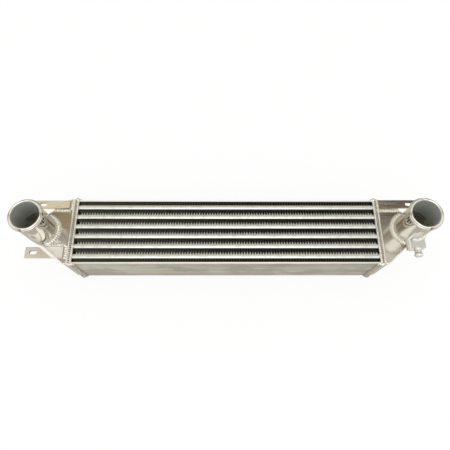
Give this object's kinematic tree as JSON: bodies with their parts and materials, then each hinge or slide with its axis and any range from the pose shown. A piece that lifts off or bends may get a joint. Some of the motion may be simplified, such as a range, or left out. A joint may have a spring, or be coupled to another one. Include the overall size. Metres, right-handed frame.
{
  "type": "intercooler",
  "caption": "Air to air charge cooler with a bar and plate core, welded end tanks, round hose ports on the front, slotted mounting straps and a plugged sensor boss.",
  "frame": {"origin": "middle of the part's outline seen from the front, in the plane that the two back seam beads lie on", "axes": "+X along the core towards the port that carries the sensor boss, +Y up the core across its passages, +Z out of the front face, the way both ports point"},
  "size_m": [0.7118, 0.13, 0.161],
  "materials": {
    "side_plate": "brushed, lightly scratched",
    "parting_sheet": "brazed, dull",
    "long_bar": "extruded, bright",
    "turbulator": "brazed, dull",
    "cooling_fins": "brazed, dull, dark in the depth of the rows",
    "header_bar": "sawn, satin",
    "tank": "rolled sheet, satin",
    "port_tube": "polished",
    "weld_bead": "rippled, bright",
    "strap": "rolled sheet, satin",
    "sensor_boss": "machined, bright",
    "plug": "turned, bright"
  },
  "bodies": {
    "root": {"side_plate_upper": "side_plate", "side_plate_lower": "side_plate", "parting_sheet_1": "parting_sheet", "parting_sheet_2": "parting_sheet", "parting_sheet_3": "parting_sheet", "parting_sheet_4": "parting_sheet", "parting_sheet_5": "parting_sheet", "parting_sheet_6": "parting_sheet", "parting_sheet_7": "parting_sheet", "parting_sheet_8": "parting_sheet", "parting_sheet_9": "parting_sheet", "parting_sheet_10": "parting_sheet", "parting_sheet_11": "parting_sheet", "parting_sheet_12": "parting_sheet", "front_bar_1": "long_bar", "front_bar_2": "long_bar", "front_bar_3": "long_bar", "front_bar_4": "long_bar", "front_bar_5": "long_bar", "front_bar_6": "long_bar", "back_bar_1": "long_bar", "back_bar_2": "long_bar", "back_bar_3": "long_bar", "back_bar_4": "long_bar", "back_bar_5": "long_bar", "back_bar_6": "long_bar", "turbulator_1": "turbulator", "turbulator_2": "turbulator", "turbulator_3": "turbulator", "turbulator_4": "turbulator", "turbulator_5": "turbulator", "turbulator_6": "turbulator", "cooling_fins_1": "cooling_fins", "cooling_fins_2": "cooling_fins", "cooling_fins_3": "cooling_fins", "cooling_fins_4": "cooling_fins", "cooling_fins_5": "cooling_fins", "cooling_fins_6": "cooling_fins", "cooling_fins_7": "cooling_fins", "header_bars_left": "header_bar", "header_bars_right": "header_bar", "tank_left": "tank", "tank_right": "tank", "port_tube_left": "port_tube", "port_tube_right": "port_tube", "seam_weld_left": "weld_bead", "seam_weld_right": "weld_bead", "port_weld_left": "weld_bead", "port_weld_right": "weld_bead", "strap_upper_left": "strap", "strap_upper_right": "strap", "strap_lower_left": "strap", "strap_weld_upper_left": "weld_bead", "strap_weld_upper_right": "weld_bead", "strap_weld_lower_left": "weld_bead", "sensor_boss": "sensor_boss", "sensor_boss_weld": "weld_bead", "blanking_plug": "plug"}
  },
  "joints": []
}
